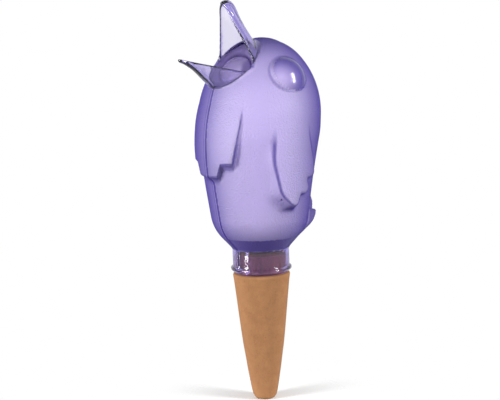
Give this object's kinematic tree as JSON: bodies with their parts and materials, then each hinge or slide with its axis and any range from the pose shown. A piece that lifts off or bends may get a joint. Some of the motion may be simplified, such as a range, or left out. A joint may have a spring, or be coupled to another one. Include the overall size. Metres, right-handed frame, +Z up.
{
  "type": "watering globe",
  "caption": "Plant watering globe shaped as an open-beaked bird, with a hollow translucent plastic body, a round neck and a tapered clay spike that seeps water into soil.",
  "frame": {"origin": "middle of the small flat at the lower tip of the clay cone", "axes": "+Z up along the cone's axis, the bird looks along -Y, the bird's left side is +X"},
  "size_m": [0.0616, 0.0771, 0.2023],
  "materials": {
    "shell_plastic": "translucent violet plastic, clear and glossy at the beak and eyes, finely frosted elsewhere",
    "clay": null,
    "sealant": "cured sealant, dull"
  },
  "bodies": {
    "root": {"shell_left": "shell_plastic", "shell_right": "shell_plastic", "clay_cone": "clay", "neck_sealant": "sealant"}
  },
  "joints": []
}
